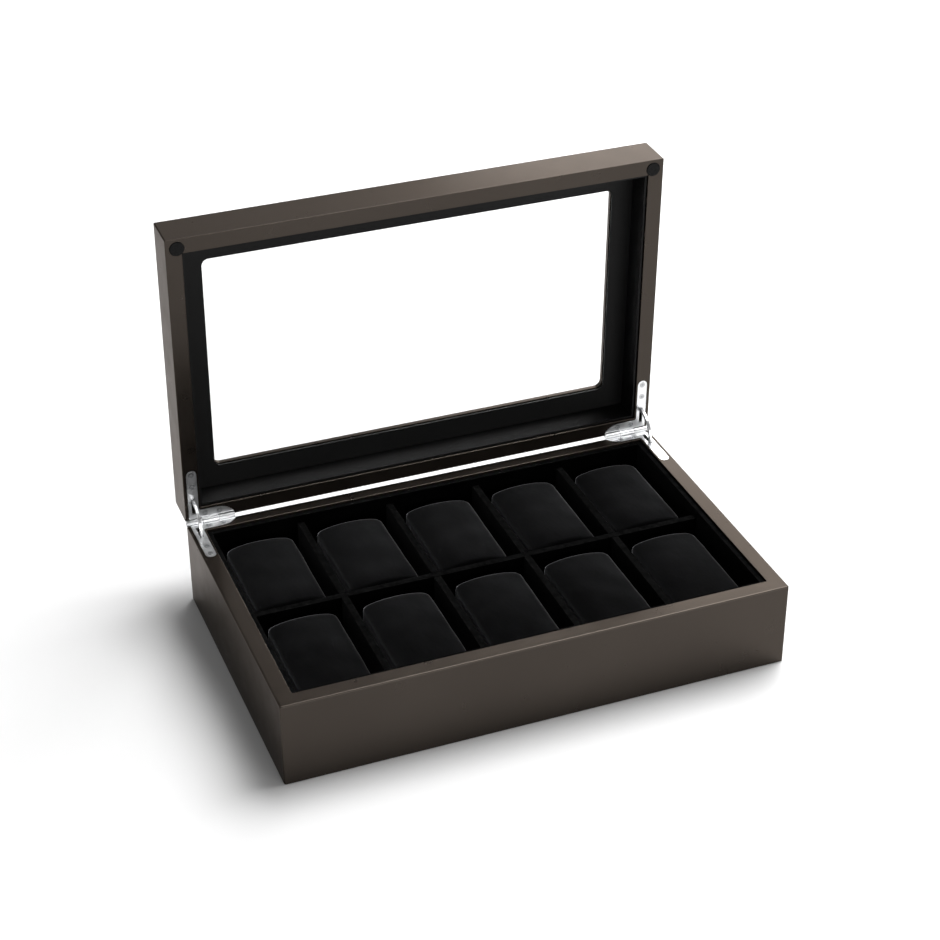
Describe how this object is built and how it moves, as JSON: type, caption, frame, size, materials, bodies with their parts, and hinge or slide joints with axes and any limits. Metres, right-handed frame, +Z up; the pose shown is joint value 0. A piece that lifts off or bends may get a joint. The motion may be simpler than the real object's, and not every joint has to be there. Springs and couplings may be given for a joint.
{
  "type": "watch box",
  "caption": "Rectangular lacquered box with a glazed lid on quadrant hinges; its velvet-lined compartments each hold a lift-out arched pillow for a wristwatch.",
  "frame": {"origin": "centre of the case's underside, on the felt", "axes": "+Z up, +X towards the box's right side as seen from the front, +Y towards the hinged back"},
  "size_m": [0.33, 0.2316, 0.2639],
  "materials": {
    "lacquered_wood": "dark bronze metallic lacquer, satin",
    "bottom_board": "stained black, matte",
    "felt": "pressed felt",
    "velvet_lining": "short black velvet over board",
    "velvet_pillow": "short black velvet over stuffing",
    "polished_chrome": "polished",
    "lid_leatherette": "black, semi-gloss",
    "clear_glass": "clear, polished",
    "black_rubber": "matte"
  },
  "bodies": {
    "base": {"base_front_board": "lacquered_wood", "base_back_board": "lacquered_wood", "base_left_board": "lacquered_wood", "base_right_board": "lacquered_wood", "base_bottom_panel": "bottom_board", "base_felt": "felt", "lining_floor": "velvet_lining", "lining_left": "velvet_lining", "lining_right": "velvet_lining", "lining_front": "velvet_lining", "lining_back": "velvet_lining", "divider_1": "velvet_lining", "divider_2": "velvet_lining", "divider_3": "velvet_lining", "divider_4": "velvet_lining", "divider_cross": "velvet_lining", "hinge_base_leaf_left": "polished_chrome", "hinge_base_leaf_right": "polished_chrome", "hinge_pin_left": "polished_chrome", "hinge_pin_right": "polished_chrome", "screw_base_left_1": "polished_chrome", "screw_base_left_2": "polished_chrome", "screw_base_left_3": "polished_chrome", "screw_base_left_4": "polished_chrome", "screw_base_right_1": "polished_chrome", "screw_base_right_2": "polished_chrome", "screw_base_right_3": "polished_chrome", "screw_base_right_4": "polished_chrome"},
    "lid": {"lid_front_rail": "lacquered_wood", "lid_back_rail": "lacquered_wood", "lid_left_rail": "lacquered_wood", "lid_right_rail": "lacquered_wood", "lid_glass": "clear_glass", "lid_lining": "lid_leatherette", "hinge_lid_leaf_left": "polished_chrome", "hinge_lid_leaf_right": "polished_chrome", "bumper_left": "black_rubber", "bumper_right": "black_rubber", "screw_lid_left_1": "polished_chrome", "screw_lid_left_2": "polished_chrome", "screw_lid_left_3": "polished_chrome", "screw_lid_left_4": "polished_chrome", "screw_lid_right_1": "polished_chrome", "screw_lid_right_2": "polished_chrome", "screw_lid_right_3": "polished_chrome", "screw_lid_right_4": "polished_chrome"},
    "stay_left": {"stay_left": "polished_chrome"},
    "stay_right": {"stay_right": "polished_chrome"},
    "pillow_1_1": {"pillow_1_1": "velvet_pillow"},
    "pillow_1_2": {"pillow_1_2": "velvet_pillow"},
    "pillow_1_3": {"pillow_1_3": "velvet_pillow"},
    "pillow_1_4": {"pillow_1_4": "velvet_pillow"},
    "pillow_1_5": {"pillow_1_5": "velvet_pillow"},
    "pillow_2_1": {"pillow_2_1": "velvet_pillow"},
    "pillow_2_2": {"pillow_2_2": "velvet_pillow"},
    "pillow_2_3": {"pillow_2_3": "velvet_pillow"},
    "pillow_2_4": {"pillow_2_4": "velvet_pillow"},
    "pillow_2_5": {"pillow_2_5": "velvet_pillow"}
  },
  "joints": [
    {"name": "lid_hinge", "type": "hinge", "parent": "base", "child": "lid", "pos_m": [0, 0.1025, 0.0582], "axis": [-1, 0, 0], "range_deg": [-88.43, 0]},
    {"name": "stay_left_turn", "type": "hinge", "parent": "base", "child": "stay_left", "pos_m": [0, 0.1025, 0.0582], "axis": [-1, 0, 0], "range_deg": [-44.3, 0]},
    {"name": "stay_right_turn", "type": "hinge", "parent": "base", "child": "stay_right", "pos_m": [0, 0.1025, 0.0582], "axis": [-1, 0, 0], "range_deg": [-44.3, 0]},
    {"name": "pillow_1_1_lift", "type": "slide", "parent": "base", "child": "pillow_1_1", "axis": [0, 0, 1], "range_m": [0, 0.07]},
    {"name": "pillow_1_2_lift", "type": "slide", "parent": "base", "child": "pillow_1_2", "axis": [0, 0, 1], "range_m": [0, 0.07]},
    {"name": "pillow_1_3_lift", "type": "slide", "parent": "base", "child": "pillow_1_3", "axis": [0, 0, 1], "range_m": [0, 0.07]},
    {"name": "pillow_1_4_lift", "type": "slide", "parent": "base", "child": "pillow_1_4", "axis": [0, 0, 1], "range_m": [0, 0.07]},
    {"name": "pillow_1_5_lift", "type": "slide", "parent": "base", "child": "pillow_1_5", "axis": [0, 0, 1], "range_m": [0, 0.07]},
    {"name": "pillow_2_1_lift", "type": "slide", "parent": "base", "child": "pillow_2_1", "axis": [0, 0, 1], "range_m": [0, 0.07]},
    {"name": "pillow_2_2_lift", "type": "slide", "parent": "base", "child": "pillow_2_2", "axis": [0, 0, 1], "range_m": [0, 0.07]},
    {"name": "pillow_2_3_lift", "type": "slide", "parent": "base", "child": "pillow_2_3", "axis": [0, 0, 1], "range_m": [0, 0.07]},
    {"name": "pillow_2_4_lift", "type": "slide", "parent": "base", "child": "pillow_2_4", "axis": [0, 0, 1], "range_m": [0, 0.07]},
    {"name": "pillow_2_5_lift", "type": "slide", "parent": "base", "child": "pillow_2_5", "axis": [0, 0, 1], "range_m": [0, 0.07]}
  ],
  "couplings": [
    {"joint": "stay_left_turn", "follows": "lid_hinge", "ratio": 0.5},
    {"joint": "stay_right_turn", "follows": "lid_hinge", "ratio": 0.5}
  ]
}
